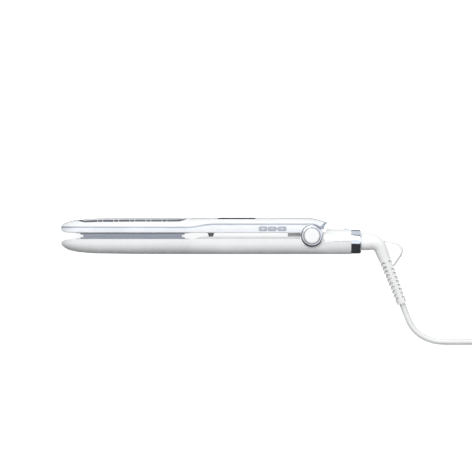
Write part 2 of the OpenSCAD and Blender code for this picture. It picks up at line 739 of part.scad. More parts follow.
// Band of the crown's surface as rings, with the height of its top over the crown and its thickness
function crown_band(xs, halves, rise, thick) = [for (j = [0:len(xs) - 1]) let (x = xs[j], h = halves[j])
    concat([for (i = [0:band_steps]) let (z = mix(h, -h, i / band_steps)) [x, crown(x, z) + rise, z]],
        [for (i = [band_steps:-1:0]) let (z = mix(h, -h, i / band_steps))
            [x, crown(x, z) + rise - thick, z]])];

// Dark grille sunk into the crown over the plates
module vent_grille() {
    xs = vent_stations(snug);
    color(plate_blue * 0.8) on_side()
        loft(crown_band(xs, [for (x = xs) vent_half(x, snug)], -vent_depth - 0.05, vent_t), flip = true);
}

// White guard over the grille: a spine on the crown and pairs of ribs down both shoulders
module vent_guard() {
    spine_x = [for (i = [0:8]) mix(vent_x0 + 8, vent_x1 - 4, i / 8)];
    function spine_half(x) = min(vent_spine_w / 2, vent_half(x, 1.6) * 0.8);
    color(white) on_side() union() {
        loft(crown_band(spine_x, [for (x = spine_x) spine_half(x)], 0, vent_depth), flip = true);
        for (i = [0:rib_pairs - 1], side = [-1, 1]) rib(rib_first + rib_period * i + side * rib_gap / 2);
    }
}

// One rib across the vent, over the crown
module rib(x) {
    ends = [x - rib_t / 2, x + rib_t / 2];
    loft(crown_band(ends, [for (e = ends) vent_half(x, snug)], -0.1, vent_depth - 0.2), flip = true);
}

// Trim band between the crown and the base, with the slanted heel that closes the rear end
module upper_trim() {
    half_t = trim_t / 2;
    color(trim_blue) on_side() difference() {
        union() {
            loft([for (x = arm_stations_to_hinge) let (y = trim_y(x))
                [[x, y + half_t, upper_z(x, y + half_t)], [x, y, upper_z(x, y) + 0.15],
                    [x, y - half_t, upper_z(x, y - half_t)], [x, y - half_t, -upper_z(x, y - half_t)],
                    [x, y, -upper_z(x, y) - 0.15], [x, y + half_t, -upper_z(x, y + half_t)]]]);
            heel_part() heel_outline();
        }
        cylinder(r = base_cut_r, h = 3 * handle_w, center = true);
        rotate([-90, 0, 0]) linear_extrude(outer_y) trim_hole();
    }
}

// Outline of the trim that wraps round the rings and ends in the slanted bar
module heel_outline() {
    bar_top = heel_corner + (heel_top_y - heel_corner[1]) * [1 / tan(heel_angle), 1];
    polygon(concat([[-1, trim_rear], [-1, trim_rear + trim_t / 2], [0, wrap_r]],
        [for (a = wrap_steps) if (a < 90) wrap_r * [cos(a), sin(a)]],
        [heel_left(wrap_r * sin(wrap_end)), heel_left(heel_top_y), bar_top, heel_corner, heel_foot],
        [for (a = [36:9:90]) (base_cut_r - 0.2) * [cos(a), sin(a)]]));
}

// Plan of the opening inside the trim band
module trim_hole() {
    xs = [for (i = [0:12]) mix(-tip_reach + 12, -3, i / 12)];
    polygon(concat([for (x = xs) [x, arm_half_w(x) - 3.4]],
        [for (i = [12:-1:0]) [xs[i], 3.4 - arm_half_w(xs[i])]]));
}

// Side band and inner face of the upper arm
side_steps = 5;
function base_ring(x) = let (
    rim = trim_y(x) - trim_t / 2,
    low = upper_in(x),
    nip = min(0.6, (rim - low) * 0.3),
    ys = [for (i = [0:side_steps]) mix(rim, low + nip, i / side_steps)],
    deep = concat(ys, [low]),
    last = side_steps + 1)
    concat([for (y = ys) [x, y, upper_z(x, y)]], [[x, low, upper_z(x, low) - nip]],
        [[x, low, nip - upper_z(x, low)]], [for (i = [side_steps:-1:0]) [x, ys[i], -upper_z(x, ys[i])]],
        [for (i = [0:last]) inner_corner(x, rim, deep[i], i, -1)],
        [for (i = [last:-1:0]) inner_corner(x, rim, deep[i], i, 1)]);
// Point i down the inside of the side band at height y, which lies on the rim where the arm is solid
function inner_corner(x, rim, y, i, side) = let (
    flat_z = upper_z(x, rim) * (0.9 - 0.1 * i),
    deep_y = max(y, upper_in(x) + floor_t + 0.01 * (side_steps + 1 - i)))
    [x, mix(rim, deep_y, hollow(x)), side * mix(flat_z, min(upper_z(x, y), upper_z(x, rim) + 9) - wall
        - (i > side_steps ? 2 : 0), hollow(x))];

module upper_base() {
    holder_x0 = plate_x(0) - holder_margin - snug;
    color(band_grey) on_side() difference() {
        union() {
            loft([for (x = arm_stations_to_hinge) base_ring(x)]);
            translate([base_screw_x[0] - 3, inner_y + 1, -4]) cube([6, board_y - inner_y - 1, 8]);
        }
        cylinder(r = base_cut_r, h = 3 * handle_w, center = true);
        translate([holder_x0, 0, -holder_w / 2 - snug])
            cube([plate_l + 2 * (holder_margin + snug), inner_y + 2 * floor_t, holder_w + 2 * snug]);
        button_hole(power_x);
        for (side = [-1, 1]) button_hole(rocker_x + side * rocker_step / 2);
        translate([rocker_x - rocker_step / 2, button_y - bridge_h / 2 - button_slack, button_base_z])
            cube([rocker_step, bridge_h + 2 * button_slack, handle_w]);
        translate([peg_x, 0, 0]) rotate([-90, 0, 0]) cylinder(r = peg_r0 - 0.8, h = inner_y + 2 * floor_t);
        for (x = base_screw_x) screw_hole(x, inner_y, 1);
    }
}

arm_stations_to_hinge = concat(arm_stations, [-12, 0]);

// Outline of a button, larger by grow all round
module pill(x, grow) {
    r = button_corner + grow;
    half_l = button_l / 2 - button_corner;
    half_h = button_h / 2 - button_corner;
    for (side = [-1, 1], rise = [-1, 1])
        translate([x + side * half_l, button_y + rise * half_h]) circle(r = r, $fn = 24);
    translate([x - half_l - r, button_y - half_h]) square([2 * (half_l + r), 2 * half_h]);
    translate([x - half_l, button_y - half_h - r]) square([2 * half_l, 2 * (half_h + r)]);
}

module button_hole(x) {
    translate([0, 0, button_base_z - 1]) linear_extrude(handle_w) pill(x, button_slack);
}

button_top_z = handle_w / 2 + button_proud - 0.15;
flange_z = upper_z(-40, button_y + button_h / 2 + button_flange) - wall - slack - 0.35;

// Ledge of a button under the wall, from x0 to x1
module flange(x0, x1) {
    translate([x0, button_y - 1, button_base_z])
        cube([x1 - x0, 1 + button_h / 2 + button_flange, flange_z - button_base_z]);
}

// Button that switches the iron on and off
module power_button() {
    color(trim_blue) on_side() union() {
        translate([0, 0, button_base_z]) linear_extrude(button_top_z - 0.4 - button_base_z) pill(power_x, 0);
        translate([0, 0, button_top_z - 0.4]) linear_extrude(0.4) pill(power_x, -0.3);
        flange(power_x - button_l / 2 - button_flange, power_x);
    }
}

// Rocker with a cooler and a hotter end, joined by a bridge
module temperature_rocker() {
    color(trim_blue) on_side() union() {
        for (side = [-1, 1]) {
            x = rocker_x + side * rocker_step / 2;
            translate([0, 0, button_base_z]) linear_extrude(button_top_z - 0.4 - button_base_z) pill(x, 0);
            translate([0, 0, button_top_z - 0.4]) linear_extrude(0.4) pill(x, -0.3);
        }
        translate([rocker_x - rocker_step / 2, button_y - bridge_h / 2, button_base_z])
            cube([rocker_step, bridge_h, button_top_z - 0.5 - button_base_z]);
        flange(rocker_x - rocker_step / 2, rocker_x + rocker_step / 2);
    }
}

// Dark window over the display, curved like the crown
module display_window() {
    xs = [display_x + snug, display_x + display_l - snug];
    half = display_w / 2 - snug;
    color(charcoal) on_side() loft(crown_band(xs, [half, half], 0.15, wall), flip = true);
}

// Display in its frame, on the board
module display_module() {
    top_y = crown(display_x, display_w / 2) - wall - 0.3;
    base_y = board_y + board_t;
    color("darkslategray") on_side() difference() {
        translate([display_x + 1, base_y, -display_w / 2 + 0.8])
            cube([display_l - 2, top_y - base_y, display_w - 1.6]);
        translate([display_x + 4, top_y - 0.5, -display_w / 2 + 2.4])
            cube([display_l - 8, 1, display_w - 4.8]);
    }
}

// Circuit board along the handle
module control_board() {
    color("darkgreen") on_side()
        translate([board_x0, board_y, -board_w / 2]) cube([board_x1 - board_x0, board_t, board_w]);
}

// Capacitor, relay, fuse and chips on the board
module board_parts() {
    y = board_y + board_t;
    color("slategray") on_side() union() {
        translate([0, 0, 6.6]) along_x(parts_x, y + 1.8) cylinder(r = 1.8, h = 9);
        translate([parts_x, y, -5]) cube([11, 3.2, 9]);
        translate([0, 0, -7]) along_x(parts_x + 3, y + 1.2) cylinder(r = 1.2, h = 7);
        translate([board_x0 + 4, y, -4]) cube([8, 1.4, 8]);
        for (z = [-8.6, 6.2]) translate([parts_x - 8, y, z]) cube([5, 1, 2.4]);
    }
}

// Upright board with the three switches behind the controls
module switch_bank() {
    board_z = 6.6;
    switch_z = 8;
    switch_l = button_base_z - button_travel - slack - switch_z;
    color("darkseagreen") on_side() union() {
        translate([power_x - 6, inner_y + floor_t, board_z])
            cube([rocker_x - power_x + 16.5, board_y - inner_y - floor_t, switch_z - board_z]);
        for (x = [power_x, rocker_x - rocker_step / 2, rocker_x + rocker_step / 2])
            translate([x - 1.8, button_y - 1.5, switch_z]) cube([3.6, 3, switch_l]);
    }
}

module upper_plate_holder() {
    color(charcoal) on_side() plate_tray(1);
}

module upper_plate() {
    color(plate_blue) on_side() ridged_plate(1);
}

module upper_heater() {
    color("lightgray") on_side() heater(1);
}

// Thermal fuse in its saddle, on the back of the upper heater
module thermal_fuse() {
    back_y = inner_y + plate_seat + heater_t;
    color("tan") on_side() union() {
        along_x(plate_x(0.5) - 5, back_y + 1.6) cylinder(r = 1.6, h = 10);
        translate([plate_x(0.5) - 4, back_y, -2.6]) cube([8, 1, 5.2]);
    }
}

// Knuckles of the upper arm and the web that carries them into its handle
module knuckle_frame() {
    web_y = inner_y + floor_t;
    color("dimgray") on_side() difference() {
        union() {
            cylinder(r = knuckle_r, h = 2 * knuckle_z, center = true);
            slab(knuckle_z) polygon([[web_x, web_y], [web_x, board_y], [-4, board_y], [0, knuckle_r],
                [0, web_y]]);
        }
        cylinder(r = pin_r + fit + bush_t, h = 3 * knuckle_z, center = true);
        cylinder(r = spring_r + spring_wire / 2 + 1.2, h = 2 * spring_gap_z, center = true);
        slab(spring_gap_z) polygon([[-knuckle_r - 1, web_y - eps], [knuckle_r + 1, web_y - eps],
            [knuckle_r + 1, -knuckle_r - 1], [-knuckle_r - 1, -knuckle_r - 1]]);
        translate([base_screw_x[1], 0, 0]) rotate([-90, 0, 0]) cylinder(r = screw_r, h = inner_y + screw_l);
    }
}

// Sintered bushes between the knuckles and the pin
module hinge_bushes() {
    color("peru") on_side() both_sides() translate([0, 0, spring_gap_z])
        tube(pin_r + fit + bush_t, pin_r + fit, knuckle_z - spring_gap_z);
}

// Rubber peg that stops the closing arms at the handle
module stop_peg() {
    end_y = pad_y - peg_dent + slack;
    color(charcoal) on_side() translate([peg_x, 0, 0]) rotate([-90, 0, 0]) union() {
        translate([0, 0, end_y]) cylinder(r1 = peg_r1, r2 = peg_r0, h = inner_y - end_y);
        translate([0, 0, inner_y]) cylinder(r = peg_r0 - 0.8, h = floor_t + 0.6);
        translate([0, 0, inner_y + floor_t]) cylinder(r = peg_r0, h = 1);
    }
}

module base_screws() {
    color("silver") on_side() for (x = base_screw_x) screw(x, inner_y, 1, board_y - inner_y - 0.4);
}

// ---- Swivel and lead ----

// Core of the swivel that turns in the bearing and is held in the collar
module swivel_drum() {
    color("gainsboro") on_side() union() {
        along_x(slip_x[0] - 3, rear_y) difference() {
            cylinder(r = shaft_r, h = drum_x - slip_x[0] + 3 + eps);
            for (x = slip_x) translate([0, 0, x - slip_x[0] + 3]) tube(shaft_r + 1, shaft_r - 0.6, 2);
        }
        along_x(drum_x, rear_y) cylinder(r = drum_r, h = drum_t);
    }
}

module slip_rings() {
    color("goldenrod") on_side() for (x = slip_x) along_x(x, rear_y)
        tube(shaft_r + ring_wall, shaft_r - 0.6, 2);
}

// Puts a shape drawn in the plane of the strain relief at its droop about the collar's axis
module drooped() {
    on_side() translate([0, rear_y, 0]) rotate([cord_droop, 0, 0]) children();
}

// Middle line and radii of the strain relief up to its grooves
elbow_steps = 8;
boot_line = concat([[boot_x, 0, 0], [boot_exit_x + 1, 0, 0]],
    [for (i = [0:elbow_steps]) let (a = elbow_turn * i / elbow_steps)
        [elbow_x + elbow_r * sin(a), -elbow_r * (1 - cos(a)), 0]],
    [for (d = [neck_l * 0.5, neck_l]) tail_point(d)]);
boot_radii = concat([boot_d / 2, boot_d / 2],
    [for (i = [0:elbow_steps]) mix(boot_d / 2, boot_mid_d / 2 + 0.55, i / elbow_steps)],
    [boot_mid_d / 2 + 0.35, boot_mid_d / 2 - 0.1]);
function tail_point(d) = [elbow_end[0] + tail_dir[0] * d, elbow_end[1] + tail_dir[1] * d, 0];

// Strain relief: a smooth elbow and a tail with grooves on its two sides
module cord_boot() {
    color(white) drooped() difference() {
        union() {
            swept_tube(boot_line, boot_radii, 20, [0, 0, 1]);
            translate(tail_point(neck_l)) rotate([0, 90, -elbow_turn]) boot_tail();
        }
        loop_end(0, snug);
        loop_end(1, snug);
    }
}

// Tail of the strain relief along z, with its grooves facing +y and -y
module boot_tail() {
    grooved_l = tail_l - neck_l;
    difference() {
        union() {
            translate([0, 0, -1]) cylinder(r1 = boot_mid_d / 2 + 0.1, r2 = boot_end_d / 2, h = grooved_l - 4);
            translate([0, 0, grooved_l - 5]) cylinder(r = boot_end_d / 2 + 0.1, h = 5);
        }
        rotate([0, 0, spine_turn]) for (i = [0:groove_count - 1]) translate([0, 0, 0.6 + groove_pitch * i]) {
            groove(-1);
            if (i != 1) groove(1);
        }
    }
}

// One groove on one side of the tail
module groove(side) {
    difference() {
        translate([-boot_d, side > 0 ? spine_w / 2 : -boot_d, 0])
            cube([2 * boot_d, boot_d - spine_w / 2, groove_w]);
        translate([0, 0, -1]) cylinder(r = groove_core_r, h = groove_w + 2, $fn = 32);
    }
}

// End stub of the hang loop: 0 at the elbow and 1 at the grooves, larger by grow all round
module loop_end(end, grow) {
    last = len(loop_line) - 1;
    tip = end == 0 ? loop_line[0] : loop_line[last];
    next = end == 0 ? loop_line[1] : loop_line[last - 1];
    run = norm(next - tip);
    translate([tip[0], tip[1], 0]) rotate([0, 0, atan2(next[1] - tip[1], next[0] - tip[0])])
        rotate([end == 0 ? 0 : -loop_twist, 0, 0])
        translate([-grow, -loop_t / 2 - grow, -loop_w / 2 - grow])
        cube([run + 2 * grow, loop_t + 2 * grow, loop_w + 2 * grow]);
}

// Flat strap by which the iron hangs on a hook
module hang_loop() {
    half_t = loop_t / 2;
    half_w = loop_w / 2;
    soft = 0.5;
    line = [for (p = loop_line) [p[0], p[1], 0]];
    last = len(line) - 1;
    color(white) drooped() loft([for (i = [0:last]) let (t = tangent(line, i),
        a = loop_twist * ease(i / (last - 2)),
        s = [-t[1] * cos(a), t[0] * cos(a), sin(a)],
        w = [t[1] * sin(a), -t[0] * sin(a), cos(a)])
        [for (c = [[half_t, half_w - soft], [half_t - soft, half_w], [soft - half_t, half_w],
            [-half_t, half_w - soft], [-half_t, soft - half_w], [soft - half_t, -half_w],
            [half_t - soft, -half_w], [half_t, soft - half_w]]) line[i] + s * c[0] + w * c[1]]]);
}

module power_cord() {
    color(white) swept_tube(cord_route, cord_r, 12, [0, 0, 1]);
}

// Middle line of the coil: in along the table, up a layer where the spiral reverses, and out again
coil_turns = 2 * coil_layer_turns;
plug_drop = cord_r + coil_pitch - plug_t / 2; // from the coil's upper layer to the plug on the table
function coil_point(u) = let (
    away = u - coil_layer_turns,
    r = coil_inner_r + coil_pitch * abs(away),
    a = -90 + 360 * u,
    lift = ease(away * 2 + 0.5))
    [coil_x + r * cos(a), coil_y + r * sin(a), cord_r + coil_pitch * lift];
coil_line = concat([cord_end, cord_end + [coil_out, 0.3, 0]],
    [for (i = [1:coil_turns * coil_steps - 1]) coil_point(i / coil_steps)],
    [for (i = [0:5]) coil_point(coil_turns) + [0, coil_out * i, -plug_drop * ease((i - 0.5) / 3.5)]]);
coil_end = coil_line[len(coil_line) - 1];

// Least gap between points of the coil that are more than half a turn apart
coil_gap = min([for (i = [0:len(coil_line) - 1], j = [i + coil_steps / 2:len(coil_line) - 1])
    norm(coil_line[i] - coil_line[j])]) - cord_d;

// Unused length of the lead, put away as a round coil of two layers
module cord_coil() {
    echo(coil_gap = coil_gap);
    color(white) swept_tube(coil_line, cord_r, 6, [0, 0, 1]);
}

// Flat two-pin plug with its strain relief, lying on the table
module plug_body() {
    nose_r = 4.4;
    waist_z = plug_relief_l + plug_l * 0.45;
    body_z = plug_relief_l + plug_l * 0.6;
    body_x = (plug_w - plug_t) / 2;
    color(white) translate(coil_end) rotate([-90, 0, 0]) difference() {
        union() {
            cylinder(r1 = cord_r + 1.1, r2 = nose_r, h = plug_relief_l);
            hull() {
                translate([0, 0, plug_relief_l - 1]) cylinder(r = nose_r, h = 1, $fn = 32);
                for (side = [-1, 1]) translate([side * plug_w * 0.36, 0, waist_z])
                    cylinder(r = plug_t * 0.44, h = 1, $fn = 24);
            }
            hull() for (side = [-1, 1]) {
                translate([side * body_x, 0, waist_z]) cylinder(r = plug_t * 0.44, h = 1, $fn = 24);
                translate([side * body_x, 0, body_z]) cylinder(r = plug_t / 2, h = plug_l * 0.4, $fn = 32);
            }
        }
        for (i = [0:3]) translate([0, 0, 2 + 3 * i]) tube(8, cord_r + 0.9, 1);
        for (side = [-1, 1]) translate([side * pin_pitch / 2, 0, plug_relief_l + plug_l - pin_root_l])
            cylinder(r = pin_root_r, h = pin_root_l + 1);
    }
}

module plug_pins() {
    color("silver") translate([coil_end[0], coil_end[1] + plug_relief_l + plug_l, coil_end[2]])
        rotate([-90, 0, 0]) for (side = [-1, 1]) translate([side * pin_pitch / 2, 0, 0]) {
            translate([0, 0, -pin_root_l]) cylinder(r = pin_root_r, h = pin_root_l + 2 * pin_gap);
            translate([0, 0, pin_gap]) cylinder(r = plug_pin_r, h = pin_l - 1);
            translate([0, 0, pin_l - 1 + pin_gap])
                cylinder(r1 = plug_pin_r, r2 = plug_pin_r - 0.8, h = 1 - pin_gap);
        }
}

lower_shell();
lower_inner_cover();
lower_plate_holder();
lower_plate();
lower_heater();
temperature_sensor();
hinge_frame();
hinge_pin();
hinge_spring();
spring_cover();
pivot_rings();
pivot_caps();
rear_top_cover();
swivel_bearing();
contact_brushes();
chrome_collar();
cover_screws();
upper_cover();
upper_trim();
upper_base();
vent_grille();
vent_guard();
display_window();
display_module();
control_board();
board_parts();
switch_bank();
upper_plate_holder();
upper_plate();
upper_heater();
thermal_fuse();
knuckle_frame();
hinge_bushes();
stop_peg();
base_screws();
power_button();
temperature_rocker();
lock_slider();
swivel_drum();
slip_rings();
cord_boot();
hang_loop();
power_cord();
cord_coil();
plug_body();
plug_pins();
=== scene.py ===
import json
import math

import bmesh
import bpy
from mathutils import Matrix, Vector


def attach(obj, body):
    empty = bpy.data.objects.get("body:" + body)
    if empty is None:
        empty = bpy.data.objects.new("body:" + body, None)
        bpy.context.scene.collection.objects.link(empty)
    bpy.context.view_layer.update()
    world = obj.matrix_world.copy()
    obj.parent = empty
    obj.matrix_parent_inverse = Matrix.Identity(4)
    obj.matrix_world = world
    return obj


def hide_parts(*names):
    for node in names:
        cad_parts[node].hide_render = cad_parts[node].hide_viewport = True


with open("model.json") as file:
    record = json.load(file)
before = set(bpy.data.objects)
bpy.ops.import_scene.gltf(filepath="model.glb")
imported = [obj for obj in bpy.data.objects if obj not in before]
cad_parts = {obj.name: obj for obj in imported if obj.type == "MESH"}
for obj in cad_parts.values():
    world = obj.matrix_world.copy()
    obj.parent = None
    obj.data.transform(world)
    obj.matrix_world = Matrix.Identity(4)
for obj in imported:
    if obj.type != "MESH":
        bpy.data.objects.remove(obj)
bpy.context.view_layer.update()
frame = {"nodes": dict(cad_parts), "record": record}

mm = 0.001
nodes = frame["nodes"]
print("frame loaded with", len(nodes), "nodes")


def addObject(name, data):
    piece = bpy.data.objects.new(name, data)
    bpy.context.scene.collection.objects.link(piece)
    return piece


# Turns a bmesh into an object, with all faces looking outwards
def addMesh(name, mesh):
    bmesh.ops.recalc_face_normals(mesh, faces=mesh.faces)
    data = bpy.data.meshes.new(name)
    mesh.to_mesh(data)
    mesh.free()
    return addObject(name, data)


# The camera looks straight down on the iron, which lies on its side
viewSettings = {
    "middle": (-71.9, -0.1, 17),   # mm, the middle of the view, level with the middle of the iron
    "width": 448.4,                # mm across the square view
    "lens": 320,
    "sensor": 36,
    "clipEnd": 100,                # m
}


def makeCamera(s):
    data = bpy.data.cameras.new("camera")
    data.lens = s["lens"]
    data.sensor_width = s["sensor"]
    data.clip_end = s["clipEnd"]
    camera = addObject("camera", data)
    distance = s["width"] * s["lens"] / s["sensor"]
    camera.location = Vector(s["middle"]) * mm + Vector((0, 0, distance * mm))
    bpy.context.scene.camera = camera


makeCamera(viewSettings)

# The lead: its route along the table and its coil, as one smooth line, in mm
leadSettings = {
    "diameter": 5.5,
    "route": [(86.2, -64, 5.1), (88.3, -69.3, 4.05), (90.6, -75.2, 3.25), (93.3, -81.7, 2.85),
              (96.4, -87, 2.75), (100.4, -91.4, 2.75), (105, -94.9, 2.75), (110.2, -97.6, 2.75),
              (115.6, -99.5, 2.75), (121.5, -100.6, 2.75), (128, -101, 2.75), (136, -101, 2.75),
              (146, -101, 2.75), (156, -101, 2.75), (166, -101, 2.75), (176, -101, 2.75),
              (186, -101, 2.75), (196, -101, 2.75), (204, -101, 2.75)],
    "coilRadius": 33,
    "coilPitch": 6,
    "layerTurns": 3.625,
    "turnSteps": 36,
    "layerChange": 0.5,   # turns over which the lead climbs to the upper layer
    "joinShift": 0.3,     # sideways step towards the coil, where the route meets it
    "coilOut": 6,         # mm between the points of the run from the coil to the plug
    "outPoints": 6,
    "dropFrom": 0.5,      # place in that run where the lead starts to sink to the plug's middle
    "dropOver": 3.5,      # points that the sinking takes
    "plugThickness": 13.6,
    "smoothSteps": 3,
    "ringSteps": 5,
}

tieSettings = {
    "angle": 100,       # degrees round the coil
    "width": 8,
    "thickness": 0.9,
    "gap": 0.15,
    "corner": 2.6,
    "cornerSteps": 8,
    "bumpReach": 70,    # degrees on each side in which the turns rise over the tie
    "bumpEase": 56,     # degrees that the rise takes
    "flapFrom": 4,      # mm in from the loop's outer and inner ends
    "flapTo": 7,
    "flapLift": 1.02,   # share of the thickness
    "flapNarrow": 0.3,
    # section of the band, as shares of its half width and of its thickness
    "section": ((-1, 0.12), (-0.94, 0), (0.94, 0), (1, 0.12), (1, 0.88), (0.94, 1), (-0.94, 1), (-1, 0.88)),
}


def ease(t):
    t = min(max(t, 0), 1)
    return t * t * (3 - 2 * t)


def mixValue(a, b, t):
    return a + (b - a) * t


def coilLine(s, tieS):
    radius = s["diameter"] / 2
    last = s["route"][-1]
    innerRadius = s["coilRadius"] - s["coilPitch"] * s["layerTurns"] / 2
    outerRadius = innerRadius + s["coilPitch"] * s["layerTurns"]
    centreX, centreY = last[0], last[1] + outerRadius

    # the turns rise a little where the tie passes under them
    def coilPoint(turns):
        away = turns - s["layerTurns"]
        spread = innerRadius + s["coilPitch"] * abs(away)
        angle = math.radians(360 * turns - 90)
        lift = ease(away / s["layerChange"] + 0.5)
        fromTie = abs((math.degrees(angle) - tieS["angle"] + 180) % 360 - 180)
        bump = (tieS["thickness"] + tieS["gap"]) * ease((tieS["bumpReach"] - fromTie) / tieS["bumpEase"])
        return (centreX + spread * math.cos(angle), centreY + spread * math.sin(angle),
                radius + s["coilPitch"] * lift + bump)

    total = 2 * s["layerTurns"]
    steps = round(total * s["turnSteps"])
    points = [(last[0] + s["coilOut"], last[1] + s["joinShift"], last[2])]
    points += [coilPoint(i / s["turnSteps"]) for i in range(2, steps)]
    end = coilPoint(total)
    drop = radius + s["coilPitch"] - s["plugThickness"] / 2
    points += [(end[0], end[1] + s["coilOut"] * i, end[2] - drop * ease((i - s["dropFrom"]) / s["dropOver"]))
               for i in range(s["outPoints"])]
    return points, (centreX, centreY)


def smoothLine(points, steps):
    line = []
    for i in range(len(points) - 1):
        before, start = Vector(points[max(i - 1, 0)]), Vector(points[i])
        end, after = Vector(points[i + 1]), Vector(points[min(i + 2, len(points) - 1)])
        for k in range(steps):
            t = k / steps
            bend = 2 * before - 5 * start + 4 * end - after
            twist = 3 * start - before - 3 * end + after
            line.append(0.5 * (2 * start + (end - before) * t + bend * t ** 2 + twist * t ** 3))
    return line + [Vector(points[-1])]


def lineLength(line):
    return sum((b - a).length for a, b in zip(line, line[1:]))


def curveTube(name, line, radius, ringSteps):
    curve = bpy.data.curves.new(name, "CURVE")
    curve.dimensions = "3D"
    curve.bevel_depth = radius
    curve.bevel_resolution = ringSteps
    curve.use_fill_caps = True
    spline = curve.splines.new("POLY")
    spline.points.add(len(line) - 1)
    for point, place in zip(spline.points, line):
        point.co = (*(Vector(place) * mm), 1)
        point.radius = mm
    spline.use_smooth = True
    return addObject(name, curve)


coilPoints, coilCentre = coilLine(leadSettings, tieSettings)
leadLine = smoothLine(leadSettings["route"] + coilPoints, leadSettings["smoothSteps"])
lead = curveTube("mains_lead", leadLine, leadSettings["diameter"] / 2, leadSettings["ringSteps"])


# Strap round the bundle of turns: a rounded loop across the coil, with its free end lying on top
def makeTie(s, leadS, centre):
    radius, thick, steps = leadS["diameter"] / 2, s["thickness"], s["cornerSteps"]
    angle = math.radians(s["angle"])
    out = Vector((math.cos(angle), math.sin(angle), 0))
    along = Vector((-math.sin(angle), math.cos(angle), 0))
    near = [(Vector(p) - Vector((*centre, 0))) for p in coilPoints]
    spreads = [v.dot(out) for v in near if abs(v.dot(along)) < s["width"] / 2 and v.dot(out) > 0]
    inner, outer = min(spreads) - radius - s["gap"], max(spreads) + radius + s["gap"]
    low, high = thick, radius * 2 + leadS["coilPitch"] + thick + 2 * s["gap"]
    corner = s["corner"]
    loop = []
    for cx, cz, start in ((outer - corner, low + corner, -90), (outer - corner, high - corner, 0),
                          (inner + corner, high - corner, 90), (inner + corner, low + corner, 180)):
        for k in range(steps + 1):
            a = math.radians(start + 90 * k / steps)
            loop.append((cx + corner * math.cos(a), cz + corner * math.sin(a), math.cos(a), math.sin(a)))
    # the free end overlaps the loop's top
    flap = [(mixValue(outer - s["flapFrom"], inner + s["flapTo"], k / steps),
             high + thick * s["flapLift"] * ease(k * 3 + 0.4), 0, 1) for k in range(steps + 1)]
    mesh = bmesh.new()

    def band(line, closed, half):
        rings = []
        for x, z, nx, nz in line:
            ring = []
            for side, rise in s["section"]:
                place = (Vector((*centre, 0)) + out * (x + nx * rise * thick) + along * side * half
                         + Vector((0, 0, z + nz * rise * thick)))
                ring.append(mesh.verts.new(place * mm))
            rings.append(ring)
        pairs = list(zip(rings, rings[1:])) + ([(rings[-1], rings[0])] if closed else [])
        count = len(s["section"])
        for first, second in pairs:
            for i in range(count):
                mesh.faces.new((first[i], first[(i + 1) % count], second[(i + 1) % count], second[i]))
        if not closed:
            mesh.faces.new(rings[0][::-1])
            mesh.faces.new(rings[-1])

    band(loop, True, s["width"] / 2)
    band(flap, False, s["width"] / 2 - s["flapNarrow"])
    return addMesh("coil_tie", mesh)


tie = makeTie(tieSettings, leadSettings, coilCentre)
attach(tie, "cord_swivel")
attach(lead, "cord_swivel")
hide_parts("power_cord", "cord_coil")
print("lead made, length in metres:", round(lineLength(leadLine) * mm, 3))

shadeSettings = {
    "weld": 0.002,        # mm, points nearer than this are joined before shading
    "plainCorner": 32,    # degrees between two faces from which their shared edge stays a corner
    "tieCorner": 50,
    "corners": {"lower_shell": 38, "upper_cover": 38, "upper_base": 38, "upper_trim": 38,
                "cord_boot": 40, "plug_body": 40, "chrome_collar": 50},
}


# Soft shading for the carried-over solids, with their corners kept
def makeShadeGroup(s):
    group = bpy.data.node_groups.new("softShade", "GeometryNodeTree")
    group.interface.new_socket("Geometry", in_out="INPUT", socket_type="NodeSocketGeometry")
    group.interface.new_socket("Corner", in_out="INPUT", socket_type="NodeSocketFloat")
    group.interface.new_socket("Geometry", in_out="OUTPUT", socket_type="NodeSocketGeometry")
    start = group.nodes.new("NodeGroupInput")
    end = group.nodes.new("NodeGroupOutput")
    weld = group.nodes.new("GeometryNodeMergeByDistance")
    weld.inputs["Distance"].default_value = s["weld"] * mm
    plain = group.nodes.new("GeometryNodeRemoveAttribute")
    plain.inputs["Name"].default_value = "custom_normal"
    smooth = group.nodes.new("GeometryNodeSetShadeSmooth")
    corners = group.nodes.new("GeometryNodeSetShadeSmooth")
    corners.domain = "EDGE"
    corners.inputs["Shade Smooth"].default_value = False
    angle = group.nodes.new("GeometryNodeInputMeshEdgeAngle")
    sharp = group.nodes.new("FunctionNodeCompare")
    sharp.data_type = "FLOAT"
    sharp.operation = "GREATER_THAN"
    group.links.new(angle.outputs["Unsigned Angle"], sharp.inputs["A"])
    group.links.new(start.outputs["Corner"], sharp.inputs["B"])
    group.links.new(sharp.outputs["Result"], corners.inputs["Selection"])
    line = [start, weld, plain, smooth, corners, end]
    for first, second in zip(line, line[1:]):
        group.links.new(first.outputs[0], second.inputs[0])
    return group


shadeGroup = makeShadeGroup(shadeSettings)
cornerSocket = next(item.identifier for item in shadeGroup.interface.items_tree if item.name == "Corner")


def softShade(piece, corner):
    shade = piece.modifiers.new("softShade", "NODES")
    shade.node_group = shadeGroup
    shade[cornerSocket] = math.radians(corner)
    weight = piece.modifiers.new("evenNormals", "WEIGHTED_NORMAL")
    weight.keep_sharp = True


for name, node in nodes.items():
    softShade(node, shadeSettings["corners"].get(name, shadeSettings["plainCorner"]))
softShade(tie, shadeSettings["tieCorner"])
print("solids shaded")

# Thin marks on the tops of the controls, in mm
markSettings = {
    "top": 31.85,     # height of the controls' tops
    "thickness": 0.06,
    "sunk": 0.02,
    "line": 0.42,
    "barCorner": (0.9, 0.6),   # shares of a bar's half length and half width at which its corners are cut
    "arcSteps": 24,
    "powerRadius": 0.95,
    "powerArc": (125, 415),
    "powerDrop": 0.15,
    "stemRise": 0.65,
    "stemLength": 1.3,
    "barLength": 1.9,
    "stubLength": 0.7,
    "stubGap": 0.35,
    "powerPlace": (-46.3, 6.75),
    "minusPlace": (-37.7, 6.75),
    "plusPlace": (-28.2, 6.75),
}


